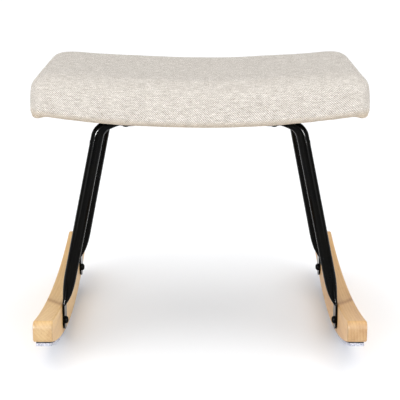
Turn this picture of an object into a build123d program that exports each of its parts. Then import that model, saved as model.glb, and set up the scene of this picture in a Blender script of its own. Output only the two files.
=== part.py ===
"""Upholstered rocking footstool: a saddle-shaped pad on four bent steel tubes and two wooden rockers.

Millimetres, +Z up, +X to the right, +Y to the back. The origin is on the floor, under the middle of
the object's bounding box. Front is -Y, left is -X.
"""
import os
from math import asin, atan, cos, pi, sin, sqrt, tan

from build123d import *

os.makedirs("parts", exist_ok=True)

# ---------------------------------------------------------------- driving dimensions
# seat pad
SEAT_WIDTH = 580.0
SEAT_DEPTH = 340.0
SEAT_Y = 21.0              # the legs and the seat stand this far behind the middle of the rockers
UNDERSIDE_Z = 397.0        # lowest line of the pad's underside, along X = 0
CROWN_Z = 477.5            # lowest line of the saddle's top, along X = 0
UNDERSIDE_RADIUS = 1800.0
CROWN_RADIUS = 2300.0
PLAN_CORNER = 40.0
TOP_ROLL = 24.0
BOTTOM_ROLL = 21.0
COVER_THICKNESS = 1.2
BOARD_THICKNESS = 12.0
BOARD_INSET = 23.0
COVER_WRAP = 28.0          # how far the cover's edge is folded in under the board
DUST_COVER_THICKNESS = 0.8
DUST_COVER_LAP = 10.0
TRIM = 6.0                 # a bent sheet is made this much too large, then trimmed to its plan
GAP = 0.05                 # assembly clearance between pieces that lie on each other

# staples
STAPLE_CROWN = 10.0
STAPLE_WIRE = 0.7
STAPLE_LEG = 5.0
STAPLE_PITCH = 40.0
STAPLE_EDGE = 5.0          # distance of the staple row from the dust cover's edge
TAB_MIDDLE_X = 140.0       # no staples go under the leg tabs, which are centred here
TAB_ROOM = 38.0

# rockers and floor strips
ROCKER_LENGTH = 566.0
ROCKER_THICKNESS = 33.0
ROCKER_INNER_X = 245.6
ROCKER_BOTTOM_RADIUS = 812.0
ROCKER_TOP_RADIUS = 1434.0
ROCKER_TOP_Z = 69.1        # lowest point of the concave top edge
ROCKER_TIP_TOP_FILLET = 12.0
ROCKER_TIP_BOTTOM_FILLET = 6.0
ROCKER_EDGE_FILLET = 3.0
STRIP_THICKNESS = 5.5
STRIP_WIDTH = 25.0
STRIP_SETBACK = 5.0        # from the rocker's tip to the strip's end
ADHESIVE_THICKNESS = 1.6
ADHESIVE_WIDTH = 23.6

# steel tube legs
TUBE_DIAMETER = 22.0
TUBE_WALL = 1.5
BORE_END_THICKNESS = 8.5   # the bore closes where the crushed ends get thinner than this
TAB_THICKNESS = 4.0
LEG_LEAN = atan(0.207)     # the tube leans outward going down
ROCKER_BOLT_Y = 148.9      # from the seat's centre line
ROCKER_BOLT_Z = 45.7
SEAT_BOLT_X = 130.0
SEAT_BOLT_Y = 111.9
BEND_RADIUS = 32.0         # outer wall of the top bend
LOWER_TAB_TOP_Z = 74.4
FOOT_BEND_Z = 114.4        # middle of the slight bend from the rocker's face to the leaning tube
FOOT_BEND_HALF = 18.0
LEAD = 8.0                 # spacing of the round sections before each crushed end
LOWER_TAB_END = 16.2       # the tab's rounded end, from the bolt
UPPER_TAB_START = 8.0      # flat part of the upper tab, outward from the bolt
UPPER_TAB_END = 20.0       # and inward, towards the seat's middle
TAB_CLEARANCE = 0.15       # the flat tab clears the curved underside
BEND_END_THICKNESS = 14.5  # the top bend is pressed to this by its end
BEND_STEPS = 7
RUN_STEPS = 5
RUN_POWER = 1.25           # how the run from the bend to the upper tab thins out
PERIMETER_STRETCH = 1.01   # pressing a tube flat stretches its wall a little

# bolts, tee nuts and inserts, all M8
BOLT_HEAD_RADIUS = 7.0
BOLT_HEAD_HEIGHT = 4.4
BOLT_SHANK_RADIUS = 3.9
SOCKET_RADIUS = 2.9
SOCKET_DEPTH = 2.6
THREAD_RADIUS = 4.0
CLEARANCE_HOLE_RADIUS = 4.3
TEE_FLANGE_RADIUS = 10.5
TEE_FLANGE_THICKNESS = 1.4
TEE_BARREL_RADIUS = 5.1
TEE_BARREL_LENGTH = 9.0
INSERT_RADIUS = 6.0
INSERT_LENGTH = 18.0
INSERT_HOLE_DEPTH = 24.0
ROCKER_BOLT_LENGTH = 25.0
SEAT_BOLT_LENGTH = 16.0
HEAD_RIM = 0.9             # straight edge of a button head
HEAD_FLAT_RADIUS = 3.6
HEAD_SHOULDER = (5.6, 3.168)      # a point on the button head's dome: radius, height
THREAD_CHAMFER = 0.8
FIT = 0.05                 # radial clearance of a barrel in its hole

SIDES = {"left": -1, "right": 1}
ENDS = {"front": -1, "back": 1}

# ---------------------------------------------------------------- derived geometry
half_width = SEAT_WIDTH / 2
half_depth = SEAT_DEPTH / 2
sole_z = STRIP_THICKNESS + ADHESIVE_THICKNESS      # the wood's lowest point
rake = atan((ROCKER_BOLT_Y - SEAT_BOLT_Y) / (UNDERSIDE_Z - ROCKER_BOLT_Z))
mount_slope = asin(SEAT_BOLT_X / UNDERSIDE_RADIUS)
mount_z = UNDERSIDE_Z + UNDERSIDE_RADIUS * (1 - cos(mount_slope))
sheet_drop = DUST_COVER_THICKNESS + GAP
tab_drop = sheet_drop + TAB_CLEARANCE


def finish(piece, name):
    """Labels a finished piece and writes its file."""
    piece.part.label = name
    export_step(piece.part, f"parts/{name}.step")


def arc_height(radius, distance):
    """Rise of a circle of this radius at this distance from its lowest point."""
    return radius - sqrt(radius**2 - distance**2)


# ---------------------------------------------------------------- seat pad
def saddle(inset):
    """The pad's closed outer form, moved inward by inset on every face."""
    reach = half_width - inset
    low_radius = UNDERSIDE_RADIUS - inset
    high_radius = CROWN_RADIUS + inset
    low_z = UNDERSIDE_Z + inset
    high_z = CROWN_Z - inset
    low_end = low_z + arc_height(low_radius, reach)
    high_end = high_z + arc_height(high_radius, reach)
    with BuildPart() as body:
        with BuildSketch(Plane.XZ.offset(-SEAT_Y)):
            with BuildLine():
                ThreePointArc((-reach, low_end), (0, low_z), (reach, low_end))
                Line((reach, low_end), (reach, high_end))
                ThreePointArc((reach, high_end), (0, high_z), (-reach, high_end))
                Line((-reach, high_end), (-reach, low_end))
            make_face()
        extrude(amount=half_depth - inset, both=True)
        fillet(body.edges().filter_by(Axis.Z), radius=PLAN_CORNER - inset)
        top_edges = body.faces().sort_by(Axis.Z)[-1].edges()
        fillet(top_edges, radius=TOP_ROLL - inset)
        bottom_edges = body.faces().sort_by(Axis.Z)[0].edges()
        fillet(bottom_edges, radius=BOTTOM_ROLL - inset)
    return body.part


def arc_sheet(low_offset, thickness, half_x, half_y, corner):
    """A sheet that follows the underside: low_offset above it, with rounded plan corners."""
    reach = half_x + TRIM
    low_radius = UNDERSIDE_RADIUS - low_offset
    high_radius = low_radius - thickness
    low_z = UNDERSIDE_Z + low_offset
    high_z = low_z + thickness
    low_end = low_z + arc_height(low_radius, reach)
    high_end = high_z + arc_height(high_radius, reach)
    with BuildPart() as sheet:
        with BuildSketch(Plane.XZ.offset(-SEAT_Y)):
            with BuildLine():
                ThreePointArc((-reach, low_end), (0, low_z), (reach, low_end))
                Line((reach, low_end), (reach, high_end))
                ThreePointArc((reach, high_end), (0, high_z), (-reach, high_end))
                Line((-reach, high_end), (-reach, low_end))
            make_face()
        extrude(amount=half_y + TRIM, both=True)
        with BuildSketch(Plane.XY.offset(low_z - TRIM)):
            with Locations((0, SEAT_Y)):
                RectangleRounded(2 * half_x, 2 * half_y, corner)
        extrude(amount=high_end - low_z + 2 * TRIM, mode=Mode.INTERSECT)
    return sheet.part


def seat_mount(side, end, lift):
    """Plane at a seat bolt, square to the underside and lift above it."""
    slope = side * mount_slope
    origin = (side * SEAT_BOLT_X, SEAT_Y + end * SEAT_BOLT_Y, mount_z)
    normal = (-sin(slope), 0, cos(slope))
    return Plane(origin=origin, x_dir=(cos(slope), 0, sin(slope)), z_dir=normal).offset(lift)


def seat_mounts(lift):
    """The four seat bolt planes."""
    return [seat_mount(side, end, lift) for side in SIDES.values() for end in ENDS.values()]


board_half_x = half_width - BOARD_INSET
board_half_y = half_depth - BOARD_INSET
opening_half_x = board_half_x - COVER_WRAP
opening_half_y = board_half_y - COVER_WRAP
sheet_half_x = opening_half_x + DUST_COVER_LAP
sheet_half_y = opening_half_y + DUST_COVER_LAP
board_top = COVER_THICKNESS + BOARD_THICKNESS
board_corner = PLAN_CORNER - BOARD_INSET


def staple_spots():
    """Places and directions of the staples, in plan, along the dust cover's edge."""
    row_x = sheet_half_x - STAPLE_EDGE
    row_y = sheet_half_y - STAPLE_EDGE
    along_x = int(2 * row_x // STAPLE_PITCH)
    along_y = int(2 * row_y // STAPLE_PITCH)
    spots = []
    for end in ENDS.values():
        for step in range(along_x):
            x = (step - (along_x - 1) / 2) * STAPLE_PITCH
            if abs(abs(x) - TAB_MIDDLE_X) > TAB_ROOM:
                spots.append((x, end * row_y, 0))
    for side in SIDES.values():
        for step in range(along_y):
            spots.append((side * row_x, (step - (along_y - 1) / 2) * STAPLE_PITCH, 90))
    return spots


def staple_plane(x, y, turn):
    """Plane at a staple, square to the dust cover's lower face."""
    radius = UNDERSIDE_RADIUS + sheet_drop
    slope = asin(x / radius)
    z = UNDERSIDE_Z - sheet_drop + arc_height(radius, x)
    normal = (-sin(slope), 0, cos(slope))
    face = Plane(origin=(x, SEAT_Y + y, z), x_dir=(cos(slope), 0, sin(slope)), z_dir=normal)
    return face.rotated((0, 0, turn))


# staples: wire crowns against the dust cover, legs driven up into the board
with BuildPart() as dust_cover_staples:
    for x, y, turn in staple_spots():
        spot = staple_plane(x, y, turn).offset(-STAPLE_WIRE - GAP)
        with BuildSketch(spot):
            Rectangle(STAPLE_CROWN, STAPLE_WIRE)
        extrude(amount=STAPLE_WIRE)
        with BuildSketch(spot):
            with GridLocations(STAPLE_CROWN - STAPLE_WIRE, 1, 2, 1):
                Rectangle(STAPLE_WIRE, STAPLE_WIRE)
        extrude(amount=STAPLE_WIRE + STAPLE_LEG)
finish(dust_cover_staples, "dust_cover_staples")

# seat board: saddle-bent plywood, counterbored from above for the tee nuts
with BuildPart() as seat_board:
    add(arc_sheet(COVER_THICKNESS, BOARD_THICKNESS, board_half_x, board_half_y, board_corner))
    with Locations(*seat_mounts(board_top)):
        CounterBoreHole(
            radius=TEE_BARREL_RADIUS + FIT,
            counter_bore_radius=TEE_FLANGE_RADIUS + FIT,
            counter_bore_depth=TEE_FLANGE_THICKNESS + GAP,
        )
    add(dust_cover_staples.part, mode=Mode.SUBTRACT)
finish(seat_board, "seat_board")

# seat foam: fills the cover round and above the board
with BuildPart() as seat_foam:
    add(saddle(COVER_THICKNESS))
    add(arc_sheet(0, board_top, board_half_x, board_half_y, board_corner), mode=Mode.SUBTRACT)
finish(seat_foam, "seat_foam")

# seat cover: a fabric skin, folded in under the board round a rectangular opening
with BuildPart() as seat_cover:
    add(saddle(0))
    add(saddle(COVER_THICKNESS), mode=Mode.SUBTRACT)
    with BuildSketch(Plane.XY.offset(UNDERSIDE_Z - COVER_THICKNESS)):
        with Locations((0, SEAT_Y)):
            RectangleRounded(2 * opening_half_x, 2 * opening_half_y, PLAN_CORNER / 2)
    extrude(amount=CROWN_Z - UNDERSIDE_Z - TOP_ROLL, mode=Mode.SUBTRACT)
    add(dust_cover_staples.part, mode=Mode.SUBTRACT)
finish(seat_cover, "seat_cover")

# dust cover: non-woven sheet over the cover's folded edge
with BuildPart() as dust_cover:
    add(arc_sheet(-sheet_drop, DUST_COVER_THICKNESS, sheet_half_x, sheet_half_y, PLAN_CORNER / 2))
    with Locations(*seat_mounts(board_top)):
        Hole(radius=CLEARANCE_HOLE_RADIUS)
    add(dust_cover_staples.part, mode=Mode.SUBTRACT)
finish(dust_cover, "dust_cover")


# ---------------------------------------------------------------- rockers
front_tip_y = -ROCKER_LENGTH / 2
back_tip_y = ROCKER_LENGTH / 2


def sole_arc_z(y, lift):
    """Height of the rocker's lower arc at y, on the concentric arc lift above the wood."""
    radius = ROCKER_BOTTOM_RADIUS - lift
    return sole_z + lift + arc_height(radius, y - SEAT_Y)


def top_arc_z(y):
    """Height of the rocker's concave top edge at y."""
    return ROCKER_TOP_Z + arc_height(ROCKER_TOP_RADIUS, y - SEAT_Y)


def rocker_bolt_plane(side, end):
    """Plane on a rocker's inner face, at a bolt, facing the middle of the stool."""
    origin = (side * ROCKER_INNER_X, SEAT_Y + end * ROCKER_BOLT_Y, ROCKER_BOLT_Z)
    return Plane(origin=origin, x_dir=(0, -side, 0), z_dir=(-side, 0, 0))


def rocker_body(side):
    """Crescent of solid wood with rounded tips and softened edges."""
    with BuildPart() as body:
        with BuildSketch(Plane.YZ.offset(side * (ROCKER_INNER_X + ROCKER_THICKNESS / 2))):
            with BuildLine():
                ThreePointArc(
                    (back_tip_y, sole_arc_z(back_tip_y, 0)),
                    (SEAT_Y, sole_z),
                    (front_tip_y, sole_arc_z(front_tip_y, 0)),
                )
                Line((front_tip_y, sole_arc_z(front_tip_y, 0)), (front_tip_y, top_arc_z(front_tip_y)))
                ThreePointArc(
                    (front_tip_y, top_arc_z(front_tip_y)),
                    (SEAT_Y, ROCKER_TOP_Z),
                    (back_tip_y, top_arc_z(back_tip_y)),
                )
                Line((back_tip_y, top_arc_z(back_tip_y)), (back_tip_y, sole_arc_z(back_tip_y, 0)))
            make_face()
        extrude(amount=ROCKER_THICKNESS / 2, both=True)
        upper_tips = body.edges().filter_by(Axis.X).sort_by(Axis.Z)[2:]
        fillet(upper_tips, radius=ROCKER_TIP_TOP_FILLET)
        lower_tips = body.edges().filter_by(Axis.X).sort_by(Axis.Z)[:2]
        fillet(lower_tips, radius=ROCKER_TIP_BOTTOM_FILLET)
        flanks = body.faces().filter_by(Axis.X)
        fillet(flanks.edges(), radius=ROCKER_EDGE_FILLET)
        for end in ENDS.values():
            with Locations(rocker_bolt_plane(side, end)):
                Hole(radius=INSERT_RADIUS + FIT, depth=INSERT_HOLE_DEPTH)
    return body


def sole_layer(side, low, high, width):
    """A strip under a rocker between two concentric arcs, low and high, measured from the wood."""
    front = front_tip_y + STRIP_SETBACK
    back = back_tip_y - STRIP_SETBACK
    with BuildPart() as layer:
        with BuildSketch(Plane.YZ.offset(side * (ROCKER_INNER_X + ROCKER_THICKNESS / 2))):
            with BuildLine():
                ThreePointArc(
                    (back, sole_arc_z(back, low)),
                    (SEAT_Y, sole_z + low),
                    (front, sole_arc_z(front, low)),
                )
                Line((front, sole_arc_z(front, low)), (front, sole_arc_z(front, high)))
                ThreePointArc(
                    (front, sole_arc_z(front, high)),
                    (SEAT_Y, sole_z + high),
                    (back, sole_arc_z(back, high)),
                )
                Line((back, sole_arc_z(back, high)), (back, sole_arc_z(back, low)))
            make_face()
        extrude(amount=width / 2, both=True)
    return layer


for side_name, side in SIDES.items():
    finish(rocker_body(side), f"{side_name}_rocker")
    adhesive = sole_layer(side, -ADHESIVE_THICKNESS, 0, ADHESIVE_WIDTH)
    finish(adhesive, f"{side_name}_strip_adhesive")
    strip = sole_layer(side, -sole_z, -ADHESIVE_THICKNESS, STRIP_WIDTH)
    finish(strip, f"{side_name}_floor_strip")


# ---------------------------------------------------------------- legs
# The right back leg is modelled and the other three are its mirror images. Its outer wall runs down the
# rocker's inner face, up the leaning tube, round the top bend and along the seat's underside.
tube_dir = Vector(-sin(LEG_LEAN), 0, cos(LEG_LEAN))
tab_dir = Vector(-cos(mount_slope), 0, -sin(mount_slope))
tab_face_z = mount_z - tab_drop / cos(mount_slope)
flat_perimeter = pi * TUBE_DIAMETER * PERIMETER_STRETCH
bend_turn = pi / 2 - LEG_LEAN + mount_slope

# height and thickness of the tube as it is pressed flat towards the lower tab
LOWER_CRUSH = (
    (130.0, TUBE_DIAMETER), (122.0, 21.7), (114.0, 20.9), (106.0, 19.6), (98.0, 17.6), (91.0, 15.0),
    (85.0, 12.0), (80.0, 8.9), (76.0, 6.0), (LOWER_TAB_TOP_Z, TAB_THICKNESS),
)


def wall_x(z):
    """X of the leaning tube's outer wall at height z."""
    return ROCKER_INNER_X - GAP - tan(LEG_LEAN) * (z - FOOT_BEND_Z)


def foot_wall(z):
    """X and slope of the outer wall near the foot: upright below the slight bend, leaning above it."""
    rise = min(max(z - FOOT_BEND_Z + FOOT_BEND_HALF, 0), 2 * FOOT_BEND_HALF)
    slope = tan(LEG_LEAN) * rise / (2 * FOOT_BEND_HALF)
    if z > FOOT_BEND_Z + FOOT_BEND_HALF:
        return wall_x(z), slope
    return ROCKER_INNER_X - GAP - slope * rise / 2, slope


def leg_y(z):
    """Y of the raked leg's centre plane at height z, for the back legs."""
    return SEAT_Y + ROCKER_BOLT_Y - tan(rake) * (z - ROCKER_BOLT_Z)


# the outer wall's corner at the top, where the leaning wall would meet the tab's upper face
corner_rise = tan(mount_slope)
corner_z = (tab_face_z + corner_rise * (wall_x(0) - SEAT_BOLT_X)) / (1 + corner_rise * tan(LEG_LEAN))
bend_reach = BEND_RADIUS * tan(bend_turn / 2)
bend_start = Vector(wall_x(corner_z), 0, corner_z) - tube_dir * bend_reach
bend_centre = bend_start + Vector(-cos(LEG_LEAN), 0, -sin(LEG_LEAN)) * BEND_RADIUS


def section_plane(wall, inward, thickness):
    """Plane of a tube section: wall is its outermost point, inward points to the tube's axis."""
    middle = wall + inward * (thickness / 2)
    along = Vector(inward.Z, 0, -inward.X)
    raked = Vector(along.X, -tan(rake) * along.Z, along.Z)
    return Plane(origin=(middle.X, leg_y(middle.Z), middle.Z), x_dir=(0, 1, 0), z_dir=raked)


def lower_sections():
    """Wall point, inward direction and thickness of each section of the lower crush, going down."""
    crush_start = LOWER_CRUSH[0][0]
    lead_in = ((crush_start + 2 * LEAD, TUBE_DIAMETER), (crush_start + LEAD, TUBE_DIAMETER))
    sections = []
    for z, thickness in (*lead_in, *LOWER_CRUSH):
        x, slope = foot_wall(z)
        lean = atan(slope)
        sections.append((Vector(x, 0, z), Vector(-cos(lean), 0, -sin(lean)), thickness))
    return sections


def upper_sections():
    """Sections round the top bend and along the run to the upper tab, going up and inward."""
    lean_in = Vector(-cos(LEG_LEAN), 0, -sin(LEG_LEAN))
    sections = [(bend_start - tube_dir * LEAD * back, lean_in, TUBE_DIAMETER) for back in (2, 1)]
    for step in range(BEND_STEPS + 1):
        share = step / BEND_STEPS
        angle = LEG_LEAN + share * bend_turn
        outward = Vector(cos(angle), 0, sin(angle))
        thickness = TUBE_DIAMETER - (TUBE_DIAMETER - BEND_END_THICKNESS) * share**2
        sections.append((bend_centre + outward * BEND_RADIUS, -outward, thickness))
    bend_end, face_in, _ = sections[-1]
    run = Vector(SEAT_BOLT_X, 0, tab_face_z) - tab_dir * UPPER_TAB_START - bend_end
    for step in range(1, RUN_STEPS + 1):
        share = step / RUN_STEPS
        thickness = TAB_THICKNESS + (BEND_END_THICKNESS - TAB_THICKNESS) * (1 - share) ** RUN_POWER
        sections.append((bend_end + run * share, face_in, thickness))
    return sections


def hollow(sections):
    """The sections that are thick enough to keep their bore."""
    return [section for section in sections if section[-1] > BORE_END_THICKNESS]


def crush_loft(sections, skin):
    """Lofts through flattened tube sections, skin inside the outer wall. Its faces are left unmerged."""
    outlines = []
    for wall, inward, thickness in sections:
        with BuildSketch(section_plane(wall, inward, thickness)) as outline:
            SlotOverall(flat_width(thickness) - 2 * skin, thickness - 2 * skin)
        outlines.append(outline.sketch)
    loft(sections=outlines, clean=False)


def flat_width(thickness):
    """Width of the tube where it is flattened to this thickness."""
    return thickness + (flat_perimeter - pi * thickness) / 2


def straight_tube(skin):
    """The straight run between the two crushed ends, skin inside the outer wall."""
    foot = section_plane(*lower_sections()[0])
    head = section_plane(*upper_sections()[0])
    with BuildSketch(foot) as outline:
        SlotOverall(flat_width(TUBE_DIAMETER) - 2 * skin, TUBE_DIAMETER - 2 * skin)
    run = head.origin - foot.origin
    extrude(outline.sketch, amount=run.length, dir=run.normalized())


def flat_tab(face, start, end):
    """A flat tab on a bolt plane: start above the bolt along the plane's x, rounded end below it."""
    width = flat_width(TAB_THICKNESS)
    with BuildSketch(face) as outline:
        with Locations(((start - end + width / 2) / 2, 0)):
            Rectangle(start + end - width / 2, width)
        with Locations((width / 2 - end, 0)):
            Circle(width / 2)
    extrude(outline.sketch, amount=TAB_THICKNESS)


def tab_planes():
    """The bolt planes of the right back leg's lower and upper tab, lying on the tabs' outer faces."""
    lower_origin = (ROCKER_INNER_X - GAP, SEAT_Y + ROCKER_BOLT_Y, ROCKER_BOLT_Z)
    lower = Plane(origin=lower_origin, x_dir=(0, -sin(rake), cos(rake)), z_dir=(-1, 0, 0))
    upper_origin = (SEAT_BOLT_X, SEAT_Y + SEAT_BOLT_Y, tab_face_z)
    away = (cos(mount_slope), 0, sin(mount_slope))
    down = (sin(mount_slope), 0, -cos(mount_slope))
    upper = Plane(origin=upper_origin, x_dir=away, z_dir=down)
    return lower, upper


# the bore, closed at both crushed ends
with BuildPart() as leg_bore:
    crush_loft(hollow(lower_sections()), TUBE_WALL)
    crush_loft(hollow(upper_sections()), TUBE_WALL)
    straight_tube(TUBE_WALL)

with BuildPart() as right_back_leg:
    lower_tab, upper_tab = tab_planes()
    crush_loft(lower_sections(), 0)
    crush_loft(upper_sections(), 0)
    straight_tube(0)
    add(leg_bore.part, mode=Mode.SUBTRACT, clean=False)
    flat_tab(lower_tab, (LOWER_TAB_TOP_Z - ROCKER_BOLT_Z) / cos(rake), LOWER_TAB_END)
    flat_tab(upper_tab, UPPER_TAB_START, UPPER_TAB_END)
    with Locations(lower_tab.offset(TAB_THICKNESS), upper_tab.offset(TAB_THICKNESS)):
        Hole(radius=CLEARANCE_HOLE_RADIUS, depth=2 * TAB_THICKNESS)


def mirrored_to(source, side, end):
    """A copy of a right back piece, mirrored to the given side and end."""
    with BuildPart() as piece:
        add(source.part)
        if side < 0:
            mirror(about=Plane.YZ, mode=Mode.REPLACE)
        if end < 0:
            mirror(about=Plane.XZ.offset(-SEAT_Y), mode=Mode.REPLACE)
    return piece


# ---------------------------------------------------------------- bolts, tee nuts and inserts
def button_bolt(length):
    """Button-head socket screw along +Z, head below Z = 0, with its shank as a plain cylinder."""
    with BuildPart() as bolt:
        with BuildSketch(Plane.XZ):
            with BuildLine():
                Line((0, 0), (BOLT_HEAD_RADIUS, 0))
                Line((BOLT_HEAD_RADIUS, 0), (BOLT_HEAD_RADIUS, -HEAD_RIM))
                ThreePointArc(
                    (BOLT_HEAD_RADIUS, -HEAD_RIM),
                    (HEAD_SHOULDER[0], -HEAD_SHOULDER[1]),
                    (HEAD_FLAT_RADIUS, -BOLT_HEAD_HEIGHT),
                )
                Line((HEAD_FLAT_RADIUS, -BOLT_HEAD_HEIGHT), (0, -BOLT_HEAD_HEIGHT))
                Line((0, -BOLT_HEAD_HEIGHT), (0, 0))
            make_face()
        revolve(axis=Axis.Z)
        with BuildSketch():
            Circle(BOLT_SHANK_RADIUS)
        extrude(amount=length)
        chamfer(bolt.faces().sort_by(Axis.Z)[-1].edges(), length=THREAD_CHAMFER)
        with BuildSketch(Plane.XY.offset(-BOLT_HEAD_HEIGHT)):
            RegularPolygon(radius=SOCKET_RADIUS, side_count=6)
        extrude(amount=SOCKET_DEPTH, mode=Mode.SUBTRACT)
    return bolt


def collar(barrel_radius, barrel_length, flange_radius, flange_thickness):
    """Internally threaded collar below Z = 0, with an optional flange on top."""
    with BuildPart() as part:
        with BuildSketch():
            Circle(barrel_radius)
        extrude(amount=-barrel_length)
        if flange_radius:
            with BuildSketch():
                Circle(flange_radius)
            extrude(amount=-flange_thickness)
        with Locations((0, 0, 0)):
            Hole(radius=THREAD_RADIUS)
    return part


def placed(source, plane):
    """A copy of a piece modelled at the origin, moved to a plane."""
    with BuildPart() as piece:
        with Locations(plane):
            add(source.part)
    return piece


seat_bolt = button_bolt(SEAT_BOLT_LENGTH)
rocker_bolt = button_bolt(ROCKER_BOLT_LENGTH)
tee_nut = collar(TEE_BARREL_RADIUS, TEE_BARREL_LENGTH, TEE_FLANGE_RADIUS, TEE_FLANGE_THICKNESS)
insert = collar(INSERT_RADIUS, INSERT_LENGTH, 0, 0)

for side_name, side in SIDES.items():
    for end_name, end in ENDS.items():
        corner = f"{side_name}_{end_name}"
        finish(mirrored_to(right_back_leg, side, end), f"{corner}_leg")
        under_tab = seat_mount(side, end, -tab_drop - TAB_THICKNESS - GAP)
        finish(placed(seat_bolt, under_tab), f"{corner}_seat_bolt")
        finish(placed(tee_nut, seat_mount(side, end, board_top)), f"{corner}_tee_nut")
        wood_face = rocker_bolt_plane(side, end)
        finish(placed(insert, wood_face), f"{corner}_threaded_insert")
        tab_face = wood_face.offset(TAB_THICKNESS + 2 * GAP)
        into_wood = Plane(origin=tab_face.origin, x_dir=tab_face.x_dir, z_dir=-tab_face.z_dir)
        finish(placed(rocker_bolt, into_wood), f"{corner}_rocker_bolt")
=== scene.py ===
"""Looks of the upholstered rocking footstool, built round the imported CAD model. Metres, +Z up."""
import math

import bmesh
import bpy
import numpy as np
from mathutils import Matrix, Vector, noise


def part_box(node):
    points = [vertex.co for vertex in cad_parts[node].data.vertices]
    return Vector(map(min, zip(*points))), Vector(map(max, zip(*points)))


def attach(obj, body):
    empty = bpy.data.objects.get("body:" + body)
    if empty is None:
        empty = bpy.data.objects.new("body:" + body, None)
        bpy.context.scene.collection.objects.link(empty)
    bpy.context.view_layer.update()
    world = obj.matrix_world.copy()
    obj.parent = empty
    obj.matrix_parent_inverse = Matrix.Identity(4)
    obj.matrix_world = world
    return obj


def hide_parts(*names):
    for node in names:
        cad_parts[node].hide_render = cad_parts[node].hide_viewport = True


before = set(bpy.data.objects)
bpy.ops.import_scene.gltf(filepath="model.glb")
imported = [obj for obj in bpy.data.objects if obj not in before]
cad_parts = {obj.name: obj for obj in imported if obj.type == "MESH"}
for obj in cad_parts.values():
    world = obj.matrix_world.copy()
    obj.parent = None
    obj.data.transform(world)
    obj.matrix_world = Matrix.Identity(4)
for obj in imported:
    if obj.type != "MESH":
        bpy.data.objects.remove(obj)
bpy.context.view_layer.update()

SIDES = (-1, 1)
WHITE = (1, 1, 1)

# ---------------------------------------------------------------- places read from the frame
COVER_LOW, COVER_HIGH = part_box("seat_cover")
SEAT_Y = (COVER_LOW.y + COVER_HIGH.y) / 2
HALF_X = (COVER_HIGH.x - COVER_LOW.x) / 2
HALF_Y = (COVER_HIGH.y - COVER_LOW.y) / 2
UNDERSIDE_Z = COVER_LOW.z
CROWN_ABOVE_BOARD = 0.0793
CROWN_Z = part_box("seat_board")[0].z + CROWN_ABOVE_BOARD
ROCKER_LOW, ROCKER_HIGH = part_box("right_rocker")
ROCKER_MIDDLE_X = (ROCKER_LOW.x + ROCKER_HIGH.x) / 2
ROCKER_TIP_Y = ROCKER_LOW.y

# ---------------------------------------------------------------- the pad's form
UNDERSIDE_RADIUS = 1.8
CROWN_RADIUS = 2.3
FRONT_CORNER = 0.026       # plan radius of the front corners
BACK_CORNER = 0.048
SMALLEST_CORNER = 0.012    # plan radius of the innermost rings
CORNER_SHRINK = 0.6        # how fast the plan radius falls with the inset
TOP_ROLL_IN = 0.037        # the rounded upper edge, inward and downward
TOP_ROLL_DOWN = 0.031
BOTTOM_ROLL = 0.010
ROLL_STEPS = 8
WALL_BULGE = 0.0015        # how far the upright sides swell outward in their middle
HEM_LIFT = 0.0045          # the lower edge is pulled up this much from the board
PUFF_ROOM = 0.0004         # the pad starts this much smaller and swells into its cover
VOXEL = 0.0048
PRESSURE = 0.4
PUFF_LIMIT = 0.0020
SWELL_FRAMES = 20

# the folds at its bottom corners
FOLD_HEIGHT = 0.045
FOLDS = ((0.04, 0.0032, 0.11), (0.42, 0.0016, 0.10), (-0.36, 0.0014, 0.09))  # angle, depth, width
TIP_REACH = (0.030, 0.036)           # where a corner's hanging tip starts, from the pad's end and front
TIP_EASE = (0.020, 0.026)            # and over what length it comes in
TIP_BAND = (0.004, 0.026)            # full up to this height, then fading over this height
TIP_MOVE = (0.0045, 0.0025, 0.0095)  # outward, forward and down

# ---------------------------------------------------------------- surfaces
THREAD = 0.00095           # pitch of the twill's threads
HEM_SHADE_REACH = 0.016           # how far up the painted shade on the lower edge reaches
DARK_BAND_Y = SEAT_Y - 0.138   # the soft dark band across each rocker, its slant and how far its line spreads
DARK_BAND_SLANT = 1.2
DARK_BAND_SPREAD = 0.016
DARK_BAND_WANDER = 0.012
# how far back from the tip the darker end grain and painted shade reach
END_DARKENING_DEPTH = 0.010

# ---------------------------------------------------------------- dust cover and floor strips
SHEET_THICKNESS = 0.0006
SHEET_STEP = 0.004
SHEET_BELOW = 0.00055      # middle of the sheet, below the pad's underside
SHEET_SAG = 0.0022         # how far the dust cover hangs in its middle
STAPLE_PITCH = 0.040
PUCKER = 0.0007            # depth of the puckers between staples
WRINKLE = 0.0006           # depth of the random wrinkles, and how many there are in a metre
WRINKLE_RATE = 22
TAB_PLACE = (0.135, 0.112)           # the leg tabs press the sheet flat here
TAB_REACH = (0.040, 0.035)
STRIP_RADIUS = 0.8191      # of the strips' lower face
STRIP_THICKNESS = 0.0055
TAPE_THICKNESS = 0.0016
BAND_SECTIONS = 180
BAND_EDGE = 0.0009         # rounded edges of the felt
FELT_FUZZ = 0.00035        # unevenness of the felt's surface
TAPE_FUZZ = 0.00005


# ---------------------------------------------------------------- mesh helpers
def link(name, mesh):
    """A new object for a mesh, in the scene."""
    piece = bpy.data.objects.new(name, mesh)
    bpy.context.scene.collection.objects.link(piece)
    return piece


def mesh_from(name, points, faces):
    """A mesh of points and faces."""
    mesh = bpy.data.meshes.new(name)
    mesh.from_pydata(points, [], faces)
    mesh.update()
    return mesh


def coordinates(mesh):
    """The mesh's vertices as an array of rows."""
    flat = np.empty(len(mesh.vertices) * 3)
    mesh.vertices.foreach_get("co", flat)
    return flat.reshape(-1, 3)


def place(mesh, points):
    """Writes an array of rows back to the mesh's vertices."""
    mesh.vertices.foreach_set("co", np.asarray(points, np.float32).ravel())
    mesh.update()


def vertex_normals(mesh):
    """The mesh's vertex normals as an array of rows."""
    flat = np.empty(len(mesh.vertices) * 3)
    mesh.vertex_normals.foreach_get("vector", flat)
    return flat.reshape(-1, 3)


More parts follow.
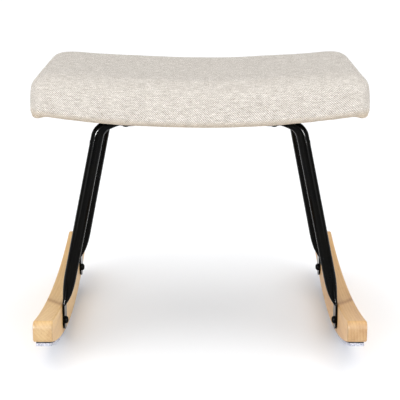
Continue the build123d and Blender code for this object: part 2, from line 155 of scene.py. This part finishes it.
def apply_modifiers(piece):
    """Leaves the piece with the mesh its modifiers make."""
    graph = bpy.context.evaluated_depsgraph_get()
    mesh = bpy.data.meshes.new_from_object(piece.evaluated_get(graph))
    piece.modifiers.clear()
    piece.data = mesh


def finish_surface(piece, material):
    """Smooth shading on every face, and one material."""
    for face in piece.data.polygons:
        face.use_smooth = True
    piece.data.materials.clear()
    piece.data.materials.append(material)


# ---------------------------------------------------------------- node helpers
def new_material(name):
    """A node material, with its node tree and its Principled shader."""
    material = bpy.data.materials.new(name)
    material.use_nodes = True
    tree = material.node_tree
    return material, tree, tree.nodes["Principled BSDF"]


def node(tree, kind, **settings):
    """A new node with its properties set."""
    made = tree.nodes.new(kind)
    for key, value in settings.items():
        setattr(made, key, value)
    return made


def maths(tree, operation, first, second=None):
    """A Math node; each input is a socket or a number."""
    made = node(tree, "ShaderNodeMath", operation=operation)
    for index, value in enumerate((first, second)):
        if value is None:
            continue
        if isinstance(value, (int, float)):
            made.inputs[index].default_value = value
        else:
            tree.links.new(value, made.inputs[index])
    return made.outputs[0]


def ramp(tree, factor, *stops):
    """A colour ramp with (position, colour) stops."""
    made = node(tree, "ShaderNodeValToRGB")
    tree.links.new(factor, made.inputs[0])
    elements = made.color_ramp.elements
    while len(elements) < len(stops):
        elements.new(0.5)
    for element, (position, colour) in zip(elements, stops):
        element.position = position
        element.color = (*colour, 1)
    return made.outputs[0]


def blended(tree, factor, first, second, mode="MIX"):
    """A colour mix of two colour sockets."""
    made = node(tree, "ShaderNodeMix", data_type="RGBA", blend_type=mode)
    for index, value in ((0, factor), (6, first), (7, second)):
        if isinstance(value, (int, float)):
            made.inputs[index].default_value = value
        else:
            tree.links.new(value, made.inputs[index])
    return made.outputs[2]


def multiplied(tree, first, second):
    """One colour socket times another."""
    return blended(tree, 1.0, first, second, "MULTIPLY")


def noise_value(tree, vector, scale, detail=2.0, roughness=0.5, distortion=0.0):
    """A noise texture's value."""
    made = node(tree, "ShaderNodeTexNoise")
    made.inputs["Scale"].default_value = scale
    made.inputs["Detail"].default_value = detail
    made.inputs["Roughness"].default_value = roughness
    made.inputs["Distortion"].default_value = distortion
    tree.links.new(vector, made.inputs["Vector"])
    return made.outputs[0]


def object_coordinates(tree, scale=(1, 1, 1), rotation=(0, 0, 0), location=(0, 0, 0)):
    """Object coordinates, in metres, turned and stretched."""
    source = node(tree, "ShaderNodeTexCoord")
    mapping = node(tree, "ShaderNodeMapping")
    mapping.inputs["Scale"].default_value = scale
    mapping.inputs["Rotation"].default_value = rotation
    mapping.inputs["Location"].default_value = location
    tree.links.new(source.outputs["Object"], mapping.inputs[0])
    return mapping.outputs[0]


def separated(tree, vector):
    """The X, Y and Z sockets of a vector."""
    made = node(tree, "ShaderNodeSeparateXYZ")
    tree.links.new(vector, made.inputs[0])
    return made.outputs[0], made.outputs[1], made.outputs[2]


def mapped(tree, factor, low, high):
    """A value from 0 to 1, spread between low and high."""
    made = node(tree, "ShaderNodeMapRange")
    tree.links.new(factor, made.inputs[0])
    made.inputs[3].default_value = low
    made.inputs[4].default_value = high
    return made.outputs[0]


def bump(tree, shader, height, strength, distance):
    """Bump from a height socket onto a shader."""
    made = node(tree, "ShaderNodeBump")
    made.inputs["Strength"].default_value = strength
    made.inputs["Distance"].default_value = distance
    tree.links.new(height, made.inputs["Height"])
    tree.links.new(made.outputs[0], shader.inputs["Normal"])


def base_colour(tree, shader, colour):
    """A colour socket as the shader's base colour."""
    tree.links.new(colour, shader.inputs["Base Color"])


def paint(names, material):
    """Gives CAD nodes their material."""
    for name in names:
        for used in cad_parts[name].material_slots:
            used.material = material


# ---------------------------------------------------------------- materials
def thread_round(tree, position):
    """Height of a rounded thread: 1 along its middle, 0 between two threads."""
    off_middle = maths(tree, "ABSOLUTE", maths(tree, "SUBTRACT", maths(tree, "FRACT", position), 0.5))
    return maths(tree, "SUBTRACT", 1.0, maths(tree, "MULTIPLY", 2.0, off_middle))


def height_above_underside(tree):
    """Height of a point of the pad above the curved underside."""
    x, _, z = separated(tree, object_coordinates(tree))
    squared = maths(tree, "POWER", maths(tree, "ABSOLUTE", x), 2.0)
    rise = maths(tree, "DIVIDE", squared, 2 * UNDERSIDE_RADIUS)
    return maths(tree, "SUBTRACT", maths(tree, "SUBTRACT", z, UNDERSIDE_Z), rise)


def twill_material():
    """Light beige melange twill: diagonal ribs of mixed pale and greige yarn."""
    material, tree, shader = new_material("melange_twill")
    cloth = node(tree, "ShaderNodeAttribute", attribute_name="cloth").outputs["Vector"]
    cloth_x, cloth_y, _ = separated(tree, cloth)
    across = maths(tree, "DIVIDE", cloth_x, THREAD)
    along = maths(tree, "DIVIDE", cloth_y, THREAD)
    warp = maths(tree, "FLOOR", across)
    weft = maths(tree, "FLOOR", along)
    # 2/2 twill: the warp lies on top in half of the crossings, stepping one thread each row;
    # the large multiple of four keeps the sum positive
    step = maths(tree, "MODULO", maths(tree, "ADD", maths(tree, "ADD", warp, weft), 40000.0), 4.0)
    warp_up = maths(tree, "LESS_THAN", step, 1.5)
    picked = node(tree, "ShaderNodeMix", data_type="FLOAT")
    tree.links.new(warp_up, picked.inputs[0])
    tree.links.new(thread_round(tree, along), picked.inputs[2])
    tree.links.new(thread_round(tree, across), picked.inputs[3])
    height = maths(tree, "POWER", maths(tree, "MAXIMUM", picked.outputs[0], 0.02), 0.6)
    # melange: each float of yarn has its own shade, and longer slubs run across the cloth
    floats = node(tree, "ShaderNodeCombineXYZ")
    tree.links.new(warp, floats.inputs[0])
    tree.links.new(weft, floats.inputs[1])
    speckle = node(tree, "ShaderNodeTexWhiteNoise", noise_dimensions="2D")
    tree.links.new(floats.outputs[0], speckle.inputs["Vector"])
    slub_vector = node(tree, "ShaderNodeMapping")
    slub_vector.inputs["Scale"].default_value = (75, 400, 1)
    tree.links.new(cloth, slub_vector.inputs[0])
    slub = noise_value(tree, slub_vector.outputs[0], 1.0, 3.0, 0.6)
    patches = noise_value(tree, cloth, 45.0, 3.0, 0.6)
    warp_shade = ramp(
        tree, speckle.outputs[0],
        (0.0, (0.26, 0.22, 0.18)), (0.12, (0.39, 0.345, 0.295)),
        (0.7, (0.49, 0.45, 0.405)), (1.0, (0.60, 0.565, 0.52)),
    )
    weft_shade = ramp(
        tree, speckle.outputs[0],
        (0.0, (0.60, 0.56, 0.50)), (0.2, (0.76, 0.73, 0.685)), (1.0, (0.87, 0.845, 0.81)),
    )
    woven = blended(tree, warp_up, weft_shade, warp_shade)
    slub_shade = ramp(tree, slub, (0.3, (0.75, 0.74, 0.725)), (0.7, (1.12, 1.12, 1.12)))
    patch_shade = ramp(tree, patches, (0.3, (0.92, 0.91, 0.90)), (0.7, (1.04, 1.04, 1.04)))
    # painted shade in the hollows between the threads
    painted_gap_shade = ramp(tree, height, (0.0, (0.55, 0.50, 0.45)), (0.5, WHITE))
    # painted shade: warmer and darker where the cover turns under the pad
    lower_edge_share = maths(tree, "DIVIDE", height_above_underside(tree), HEM_SHADE_REACH)
    painted_hem_shade = ramp(tree, lower_edge_share, (0.2, (0.93, 0.84, 0.72)), (1.0, WHITE))
    colour = woven
    for shade in (slub_shade, patch_shade, painted_gap_shade, painted_hem_shade):
        colour = multiplied(tree, colour, shade)
    base_colour(tree, shader, colour)
    shader.inputs["Roughness"].default_value = 0.92
    shader.inputs["Specular IOR Level"].default_value = 0.12
    shader.inputs["Sheen Weight"].default_value = 0.08
    shader.inputs["Sheen Roughness"].default_value = 0.5
    bump(tree, shader, height, 0.6, 0.0004)
    return material


def gloss_black(name, roughness, texture_scale, texture_depth):
    """Black coated steel with a faint orange-peel surface."""
    material, tree, shader = new_material(name)
    vector = object_coordinates(tree)
    peel = noise_value(tree, vector, texture_scale, 2.0, 0.5)
    haze = noise_value(tree, vector, 35.0, 4.0, 0.6)
    tree.links.new(mapped(tree, haze, roughness * 0.8, roughness * 1.25), shader.inputs["Roughness"])
    coating = ramp(tree, haze, (0.3, (0.0010, 0.0011, 0.0014)), (0.7, (0.0024, 0.0022, 0.0015)))
    base_colour(tree, shader, coating)
    shader.inputs["Specular IOR Level"].default_value = 0.05
    bump(tree, shader, peel, 0.12, texture_depth)
    return material


def dark_band_shade(tree, grain):
    """A soft dark line, slanted across the rocker, wandering with the grain."""
    x, y, _ = separated(tree, object_coordinates(tree))
    off_middle = maths(tree, "SUBTRACT", maths(tree, "ABSOLUTE", x), ROCKER_MIDDLE_X)
    straightened = maths(tree, "SUBTRACT", y, maths(tree, "MULTIPLY", off_middle, DARK_BAND_SLANT))
    past_band = maths(tree, "SUBTRACT", straightened, DARK_BAND_Y)
    wander = maths(tree, "MULTIPLY", maths(tree, "SUBTRACT", grain, 0.5), DARK_BAND_WANDER)
    from_band = maths(tree, "ABSOLUTE", maths(tree, "ADD", past_band, wander))
    share = maths(tree, "DIVIDE", from_band, DARK_BAND_SPREAD)
    return ramp(tree, share, (0.0, (0.70, 0.57, 0.42)), (1.0, WHITE))


def end_grain_and_painted_shade(tree):
    """Darker at the rockers' front ends: partly end grain, partly painted shade on these front faces."""
    _, y, _ = separated(tree, object_coordinates(tree))
    from_tip = maths(tree, "DIVIDE", maths(tree, "SUBTRACT", y, ROCKER_TIP_Y), END_DARKENING_DEPTH)
    return ramp(tree, from_tip, (0.15, (0.73, 0.75, 0.82)), (1.0, WHITE))


def wood_material(name, seed, end_turn, shades):
    """Honey hardwood: long grain along Y, growth rings on the end faces, pores, a soft dark band, and
    front ends darkened by end grain and painted shade.
    """
    material, tree, shader = new_material(name)
    pale, honey, brown = shades
    grain_vector = object_coordinates(
        tree, scale=(60, 3.2, 42), rotation=(end_turn, 0.06, 0), location=(seed, seed, 0),
    )
    grain = noise_value(tree, grain_vector, 1.0, 6.0, 0.62, 0.6)
    ring_vector = object_coordinates(
        tree, scale=(1, 0.12, 1), rotation=(0, end_turn, 0), location=(seed, 0, seed),
    )
    rings = node(tree, "ShaderNodeTexWave", wave_type="BANDS", bands_direction="X", wave_profile="SAW")
    rings.inputs["Scale"].default_value = 62.0
    rings.inputs["Distortion"].default_value = 2.2
    rings.inputs["Detail"].default_value = 3.0
    rings.inputs["Detail Scale"].default_value = 1.3
    tree.links.new(ring_vector, rings.inputs["Vector"])
    pores_vector = object_coordinates(tree, scale=(700, 45, 700), location=(0, seed, 0))
    pores = noise_value(tree, pores_vector, 1.0, 2.0, 0.5)
    base = ramp(tree, grain, (0.28, brown), (0.5, honey), (0.74, pale))
    ring_shade = ramp(tree, rings.outputs["Fac"], (0.0, pale), (0.55, honey), (0.93, brown), (1.0, pale))
    ringed = blended(tree, 0.30, base, ring_shade)
    specks = ramp(tree, pores, (0.33, (0.66, 0.60, 0.53)), (0.42, WHITE))
    speckled = blended(tree, 0.45, ringed, specks, "MULTIPLY")
    # a soft dark band across each rocker
    banded = multiplied(tree, speckled, dark_band_shade(tree, grain))
    # the front ends darkened: end grain and painted shade
    base_colour(tree, shader, multiplied(tree, banded, end_grain_and_painted_shade(tree)))
    tree.links.new(mapped(tree, grain, 0.36, 0.52), shader.inputs["Roughness"])
    shader.inputs["Coat Weight"].default_value = 0.12
    shader.inputs["Coat Roughness"].default_value = 0.3
    height = maths(tree, "ADD", grain, maths(tree, "MULTIPLY", pores, 0.4))
    bump(tree, shader, height, 0.18, 0.0005)
    return material


def felt_material(name, light, dark, scale):
    """Pressed felt, foam tape or non-woven sheet: matted short fibres."""
    material, tree, shader = new_material(name)
    fibre = noise_value(tree, object_coordinates(tree), scale, 8.0, 0.75, 1.5)
    base_colour(tree, shader, ramp(tree, fibre, (0.42, dark), (0.56, light)))
    shader.inputs["Roughness"].default_value = 0.95
    shader.inputs["Specular IOR Level"].default_value = 0.1
    bump(tree, shader, fibre, 0.8, 0.0006)
    return material


def steel_material():
    """Zinc-plated steel with fine scratches."""
    material, tree, shader = new_material("zinc_steel")
    scratch = noise_value(tree, object_coordinates(tree, scale=(1, 8, 1)), 500.0, 4.0, 0.7)
    base_colour(tree, shader, ramp(tree, scratch, (0.3, (0.42, 0.42, 0.41)), (0.7, (0.66, 0.66, 0.64))))
    shader.inputs["Metallic"].default_value = 1.0
    shader.inputs["Roughness"].default_value = 0.35
    bump(tree, shader, scratch, 0.2, 0.0002)
    return material


def plywood_material():
    """Bent plywood with long grain."""
    material, tree, shader = new_material("plywood")
    grain = noise_value(tree, object_coordinates(tree, scale=(6, 60, 60)), 1.0, 5.0, 0.6, 0.5)
    base_colour(tree, shader, ramp(tree, grain, (0.3, (0.40, 0.27, 0.15)), (0.7, (0.62, 0.46, 0.29))))
    shader.inputs["Roughness"].default_value = 0.7
    bump(tree, shader, grain, 0.3, 0.0005)
    return material


# ---------------------------------------------------------------- seat pad
def underside(x):
    """Height of the pad's underside at x."""
    return UNDERSIDE_Z + x * x / (2 * UNDERSIDE_RADIUS)


def crown(x):
    """Height of the saddle's top at x."""
    return CROWN_Z + x * x / (2 * CROWN_RADIUS)


def outline(half_x, half_y, front_radius, back_radius):
    """A rounded rectangle, as points in order, close enough together to follow the saddle."""
    corner_steps = 10
    side_steps = 24
    points = []
    for quarter in range(4):
        sx = 1 if quarter in (0, 3) else -1
        sy = 1 if quarter in (0, 1) else -1
        radius = back_radius if sy > 0 else front_radius
        for step in range(corner_steps + 1):
            angle = math.pi / 2 * (quarter + step / corner_steps)
            points.append(Vector((
                sx * (half_x - radius) + radius * math.cos(angle),
                sy * (half_y - radius) + radius * math.sin(angle),
            )))
    spread = []
    for index, point in enumerate(points):
        spread.append(point)
        if index % (corner_steps + 1) == corner_steps:
            following = points[(index + 1) % len(points)]
            for step in range(1, side_steps):
                spread.append(point.lerp(following, step / side_steps))
    return spread


def seat_profile():
    """(inset from the plan edge, share of the height, offset in z) from the underside to the top."""
    rows = [(inset, 0, 0) for inset in (0.166, 0.12, 0.07, 0.04, 0.020)]
    rows.append((0.014, 0, 0.0024))
    turns = [math.pi / 2 * step / ROLL_STEPS for step in range(ROLL_STEPS + 1)]
    for angle in turns:
        rise = HEM_LIFT + BOTTOM_ROLL * (1 - math.cos(angle))
        rows.append((BOTTOM_ROLL * (1 - math.sin(angle)), 0, rise))
    for share in (0.25, 0.5, 0.75):
        rows.append((-WALL_BULGE * math.sin(math.pi * share), share, 0))
    for angle in turns:
        rows.append((TOP_ROLL_IN * (1 - math.cos(angle)), 1, -TOP_ROLL_DOWN * (1 - math.sin(angle))))
    rows += [(inset, 1, 0.0006) for inset in (0.07, 0.11, 0.14, 0.166)]
    return rows


def seat_ring(inset, share, offset):
    """The points of one ring of the pad."""
    room = inset + PUFF_ROOM
    half_x = HALF_X - room
    half_y = max(HALF_Y - room, 0.001)
    radii = [
        min(max(corner - room * CORNER_SHRINK, SMALLEST_CORNER), half_y)
        for corner in (FRONT_CORNER, BACK_CORNER)
    ]
    points = []
    for x, y in outline(half_x, half_y, *radii):
        low = underside(x)
        high = crown(x) - PUFF_ROOM
        if share in (0, 1):
            z = (high if share else low) + offset
        else:
            wall_low = low + HEM_LIFT + BOTTOM_ROLL
            z = wall_low + (high - TOP_ROLL_DOWN - wall_low) * share
        points.append((x, SEAT_Y + y, z))
    return points


def seat_base():
    """The closed form of the pad, before it swells."""
    form = bmesh.new()
    rings = [[form.verts.new(point) for point in seat_ring(*row)] for row in seat_profile()]
    for below, above in zip(rings, rings[1:]):
        for index in range(len(below)):
            following = (index + 1) % len(below)
            form.faces.new((below[index], below[following], above[following], above[index]))
    form.faces.new(list(reversed(rings[0])))
    form.faces.new(rings[-1])
    bmesh.ops.triangulate(form, faces=[face for face in form.faces if len(face.verts) > 4])
    mesh = bpy.data.meshes.new("seat_cushion")
    form.to_mesh(mesh)
    form.free()
    return mesh


def remesh(piece, size):
    """Even quads of the given size."""
    modifier = piece.modifiers.new("remesh", "REMESH")
    modifier.mode = "VOXEL"
    modifier.voxel_size = size
    modifier.use_smooth_shade = True
    apply_modifiers(piece)


def swell(piece, pinned, limit):
    """Cloth simulation: the filling blows the cover up. Points move outward only, by limit at most."""
    start = coordinates(piece.data)
    normals = vertex_normals(piece.data)
    group = piece.vertex_groups.new(name="board")
    group.add([int(index) for index in np.flatnonzero(pinned)], 1.0, "REPLACE")
    modifier = piece.modifiers.new("cloth", "CLOTH")
    settings = modifier.settings
    settings.vertex_group_mass = "board"
    settings.use_pressure = True
    settings.uniform_pressure_force = PRESSURE
    settings.tension_stiffness = 25
    settings.compression_stiffness = 25
    settings.bending_stiffness = 2.0
    settings.effector_weights.gravity = 0
    modifier.point_cache.frame_end = SWELL_FRAMES
    scene = bpy.context.scene
    for tick in range(1, SWELL_FRAMES + 1):
        scene.frame_set(tick)
    apply_modifiers(piece)
    scene.frame_set(1)
    outward = np.sum((coordinates(piece.data) - start) * normals, axis=1, keepdims=True)
    place(piece.data, start + normals * np.clip(outward, 0, limit))
    piece.vertex_groups.clear()


def eased(share):
    """Smooth start and end between 0 and 1."""
    return share * share * (3 - 2 * share)


def corner_folds(points):
    """Fabric folded at the four bottom corners: tucks up each corner and a tip that hangs a little."""
    moved = points.copy()
    above = points[:, 2] - underside(points[:, 0])
    low = np.clip(1 - above / FOLD_HEIGHT, 0, 1) ** 1.5
    for sx in SIDES:
        for sy, corner in ((-1, FRONT_CORNER), (1, BACK_CORNER)):
            cx = sx * (HALF_X - corner)
            cy = SEAT_Y + sy * (HALF_Y - corner)
            dx = (points[:, 0] - cx) * sx
            dy = (points[:, 1] - cy) * sy
            angle = np.arctan2(dy, dx) - math.pi / 4
            skin = np.clip((np.hypot(dx, dy) - corner * 0.45) / (corner * 0.45), 0, 1)
            for offset, depth, width in FOLDS:
                groove = depth * np.exp(-((angle - offset) / width) ** 2) * low * skin
                moved[:, 0] -= sx * groove * 0.7
                moved[:, 1] -= sy * groove * 0.7
            near_x = np.clip((points[:, 0] * sx - HALF_X + TIP_REACH[0]) / TIP_EASE[0], 0, 1)
            near_y = np.clip(((points[:, 1] - SEAT_Y) * sy - HALF_Y + TIP_REACH[1]) / TIP_EASE[1], 0, 1)
            bottom = np.clip(1 - (above - TIP_BAND[0]) / TIP_BAND[1], 0, 1)
            tip = eased(near_x) * eased(near_y) * bottom
            moved[:, 0] += sx * TIP_MOVE[0] * tip
            moved[:, 1] += sy * TIP_MOVE[1] * tip
            moved[:, 2] -= TIP_MOVE[2] * tip
    return moved


def soft_waves(points):
    """Very slight unevenness of a hand-pulled cover."""
    moved = points.copy()
    for row, (x, y, z) in enumerate(points):
        wave = noise.noise(Vector((x * 9, y * 9, z * 16))) * 0.0011
        wave += noise.noise(Vector((x * 28, y * 28 + 5, z * 30))) * 0.0004
        moved[row, 2] += wave
        moved[row, 1] += wave * (0.8 if y > SEAT_Y else -0.8)
    return moved


def cloth_coordinates(piece):
    """Stores where each point lies on the flat cloth: over the top, then down the faces and under."""
    mesh = piece.data
    points = coordinates(mesh)
    normals = vertex_normals(mesh)
    drop = np.maximum(crown(points[:, 0]) - points[:, 2], 0)
    along = points[:, 0]
    down = points[:, 1] - SEAT_Y
    edge_x = HALF_X - np.abs(along)
    edge_y = HALF_Y - np.abs(down)
    strength = np.maximum(np.abs(normals[:, 0]), np.abs(normals[:, 1])) + 1e-6
    below = normals[:, 2] < -0.3
    side_x = np.where(below, edge_x <= edge_y, (np.abs(normals[:, 0]) / strength) ** 3)
    side_y = np.where(below, edge_x > edge_y, (np.abs(normals[:, 1]) / strength) ** 3)
    turned = 2 * np.clip(-normals[:, 2], 0, 1)
    along = along + np.sign(along) * side_x * (drop + turned * edge_x)
    down = down + np.sign(down) * side_y * (drop + turned * edge_y)
    layer = mesh.attributes.new("cloth", "FLOAT_VECTOR", "POINT")
    flat = np.stack([along, down, np.zeros_like(drop)], 1)
    layer.data.foreach_set("vector", flat.astype(np.float32).ravel())


def make_cushion(material):
    """The upholstered pad: remeshed, swollen by simulation, then folded at its corners."""
    piece = link("seat_cushion", seat_base())
    remesh(piece, VOXEL)
    points = coordinates(piece.data)
    on_board = points[:, 2] < underside(points[:, 0]) + HEM_LIFT + BOTTOM_ROLL
    swell(piece, on_board, PUFF_LIMIT)
    modifier = piece.modifiers.new("finer", "SUBSURF")
    modifier.levels = 1
    modifier.render_levels = 1
    apply_modifiers(piece)
    place(piece.data, soft_waves(corner_folds(coordinates(piece.data))))
    cloth_coordinates(piece)
    finish_surface(piece, material)
    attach(piece, "root")
    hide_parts("seat_cover", "seat_foam")


# ---------------------------------------------------------------- dust cover
def sheet_height(x, y, u, v):
    """Height of the dust cover at x and y, which lie at shares u and v of its half width and depth."""
    inside = (1 - u**4) * (1 - v**4)
    tab_x = (abs(x) - TAB_PLACE[0]) / TAB_REACH[0]
    tab_y = (abs(y) - TAB_PLACE[1]) / TAB_REACH[1]
    free = 1 - math.exp(-(tab_x**4) - tab_y**4)
    sag = SHEET_SAG * (1 - u * u) * (1 - v * v) * free
    pull_x = math.cos(2 * math.pi * x / STAPLE_PITCH) * abs(v) ** 6
    pull_y = math.cos(2 * math.pi * y / STAPLE_PITCH) * abs(u) ** 6
    pucker = PUCKER * (pull_x + pull_y) * inside * free
    place_of_wrinkle = Vector((x * WRINKLE_RATE, y * WRINKLE_RATE, 3))
    wrinkle = noise.noise(place_of_wrinkle) * WRINKLE * inside * free
    return underside(x) - SHEET_BELOW - sag - abs(wrinkle) - max(pucker, 0)


def make_dust_cover(material):
    """Non-woven sheet under the seat: stapled at its edge, puckered between staples, sagging a little."""
    low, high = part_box("dust_cover")
    half_x = (high.x - low.x) / 2
    half_y = (high.y - low.y) / 2
    columns = round(2 * half_x / SHEET_STEP)
    rows = round(2 * half_y / SHEET_STEP)
    points = []
    for row in range(rows + 1):
        for column in range(columns + 1):
            u = 2 * column / columns - 1
            v = 2 * row / rows - 1
            x = u * half_x
            y = v * half_y
            points.append((x, SEAT_Y + y, sheet_height(x, y, u, v)))
    faces = []
    for row in range(rows):
        for column in range(columns):
            first = row * (columns + 1) + column
            faces.append((first, first + columns + 1, first + columns + 2, first + 1))
    piece = link("dust_sheet", mesh_from("dust_sheet", points, faces))
    modifier = piece.modifiers.new("thickness", "SOLIDIFY")
    modifier.thickness = SHEET_THICKNESS
    modifier.offset = 0
    apply_modifiers(piece)
    finish_surface(piece, material)
    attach(piece, "root")
    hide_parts("dust_cover")


# ---------------------------------------------------------------- floor strips
def band_section(half_x, thickness):
    """Rounded section of a band, as (across, up) points in order."""
    edge = min(BAND_EDGE, thickness * 0.3)
    points = []
    for quarter in range(4):
        sx = 1 if quarter in (0, 3) else -1
        sz = 1 if quarter in (0, 1) else -1
        for step in range(4):
            angle = math.pi / 2 * (quarter + step / 3)
            across = sx * (half_x - edge) + edge * math.cos(angle)
            points.append((across, sz * (thickness / 2 - edge) + edge * math.sin(angle)))
        if quarter in (0, 2):
            for share in (0.75, 0.5, 0.25, 0, -0.25, -0.5, -0.75):
                points.append((sx * (half_x - edge) * share, sz * thickness / 2))
    return points


def make_band(side, node_name, new_name, thickness, radius, fuzz, material):
    """A band along a rocker's arc, with soft edges and a slightly uneven surface."""
    low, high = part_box(f"{side}_{node_name}")
    middle_x = (low.x + high.x) / 2
    section = band_section((high.x - low.x) / 2, thickness)
    points = []
    for slice_index in range(BAND_SECTIONS + 1):
        y = low.y + (high.y - low.y) * slice_index / BAND_SECTIONS
        away = y - SEAT_Y
        for across, up in section:
            arc = radius - thickness / 2 - up
            z = STRIP_RADIUS - math.sqrt(arc * arc - away * away)
            uneven = noise.noise(Vector((across * 330, y * 330, up * 900))) * fuzz
            points.append((middle_x + across + uneven, y, max(z + uneven, 0)))
    around = len(section)
    faces = []
    for slice_index in range(BAND_SECTIONS):
        for index in range(around):
            first = slice_index * around + index
            second = slice_index * around + (index + 1) % around
            faces.append((first, first + around, second + around, second))
    faces.append(tuple(range(around)))
    faces.append(tuple(reversed(range(BAND_SECTIONS * around, (BAND_SECTIONS + 1) * around))))
    piece = link(f"{side}_{new_name}", mesh_from(f"{side}_{new_name}", points, faces))
    finish_surface(piece, material)
    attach(piece, "root")
    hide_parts(f"{side}_{node_name}")


# ---------------------------------------------------------------- floor, light and camera
def make_floor():
    """A plain pale floor."""
    form = bmesh.new()
    bmesh.ops.create_grid(form, x_segments=2, y_segments=2, size=14)
    mesh = bpy.data.meshes.new("floor")
    form.to_mesh(mesh)
    form.free()
    floor = link("floor", mesh)
    material, tree, shader = new_material("floor_white")
    mottle = noise_value(tree, object_coordinates(tree), 3.0, 2.0)
    base_colour(tree, shader, ramp(tree, mottle, (0.0, (0.945, 0.95, 0.96)), (1.0, (0.955, 0.96, 0.97))))
    shader.inputs["Roughness"].default_value = 0.7
    shader.inputs["Specular IOR Level"].default_value = 0.1
    mesh.materials.append(material)


def area_light(name, place_at, look_at, size, power, size_y=None):
    """A soft box or strip pointing at a place."""
    data = bpy.data.lights.new(name, "AREA")
    data.energy = power
    data.size = size
    if size_y:
        data.shape = "RECTANGLE"
        data.size_y = size_y
    lamp = link(name, data)
    lamp.location = place_at
    lamp.rotation_euler = (Vector(look_at) - Vector(place_at)).to_track_quat("-Z", "Y").to_euler()
    return lamp


def make_lights():
    """Two soft boxes in front, a wide light overhead and two strips that only show in the gloss."""
    box_aim = (0, 0, 0.3)
    box_size = 2.0
    area_light("front_left_box", (-2.4, -2.3, 1.2), box_aim, box_size, 41)
    area_light("front_right_box", (2.4, -2.3, 1.2), box_aim, box_size, 37)
    for side_x, power in ((-1, 150), (1, 90)):
        strip_at = (side_x * 1.68, -2.05, 0.88)
        tube_bend = (side_x * 0.18, -0.10, 0.38)
        strip = area_light("bend_strip", strip_at, tube_bend, 0.16, power, size_y=0.42)
        strip.visible_diffuse = False
    overhead = bpy.data.lights.new("overhead", "SUN")
    overhead.energy = 1.7
    overhead.angle = math.radians(80)
    overhead.color = (0.985, 0.99, 1.0)
    link("overhead", overhead).rotation_euler = (math.radians(10), 0, 0)


def make_world():
    """Even white surroundings, and a plain transform, so that white stays white."""
    world = bpy.data.worlds.new("studio")
    world.use_nodes = True
    background = world.node_tree.nodes["Background"]
    background.inputs[0].default_value = (*WHITE, 1)
    background.inputs[1].default_value = 0.59
    bpy.context.scene.world = world
    bpy.context.scene.view_settings.view_transform = "Standard"


def make_camera():
    """The photograph's viewing angle: in front, a little above, a long lens."""
    data = bpy.data.cameras.new("camera")
    data.sensor_width = 36
    data.lens = 103.5
    camera = link("camera", data)
    camera.location = (0, SEAT_Y - 2.0907, 0.7984)
    camera.rotation_euler = (math.radians(90 - 15.25), 0, 0)
    bpy.context.scene.camera = camera


# ---------------------------------------------------------------- the footstool
make_cushion(twill_material())

corners = [f"{side}_{end}" for side in ("left", "right") for end in ("front", "back")]
paint([f"{corner}_leg" for corner in corners], gloss_black("powder_coat", 0.09, 900.0, 0.00015))
bolts = [f"{corner}_{kind}_bolt" for corner in corners for kind in ("seat", "rocker")]
paint(bolts, gloss_black("black_bolt", 0.3, 1500.0, 0.0002))
steel = steel_material()
paint([f"{corner}_{kind}" for corner in corners for kind in ("tee_nut", "threaded_insert")], steel)
paint(["dust_cover_staples"], steel)
paint(["seat_board"], plywood_material())

left_shades = ((0.79, 0.55, 0.26), (0.69, 0.43, 0.172), (0.55, 0.31, 0.105))
right_shades = ((0.71, 0.455, 0.205), (0.61, 0.35, 0.135), (0.47, 0.24, 0.084))
paint(["left_rocker"], wood_material("beech_left", 3.1, 0.75, left_shades))
paint(["right_rocker"], wood_material("beech_right", 7.7, 0.12, right_shades))

felt = felt_material("pale_felt", (0.72, 0.74, 0.82), (0.20, 0.21, 0.29), 260.0)
tape = felt_material("black_foam_tape", (0.006, 0.006, 0.006), (0.002, 0.002, 0.002), 900.0)
tape_radius = STRIP_RADIUS - STRIP_THICKNESS
for side in ("left", "right"):
    make_band(
        side, "floor_strip", "felt_strip", STRIP_THICKNESS, STRIP_RADIUS, FELT_FUZZ, felt,
    )
for side in ("left", "right"):
    make_band(side, "strip_adhesive", "foam_tape", TAPE_THICKNESS, tape_radius, TAPE_FUZZ, tape)
make_dust_cover(felt_material("black_non_woven", (0.018, 0.018, 0.019), (0.007, 0.007, 0.008), 500.0))

make_floor()
make_world()
make_camera()
make_lights()
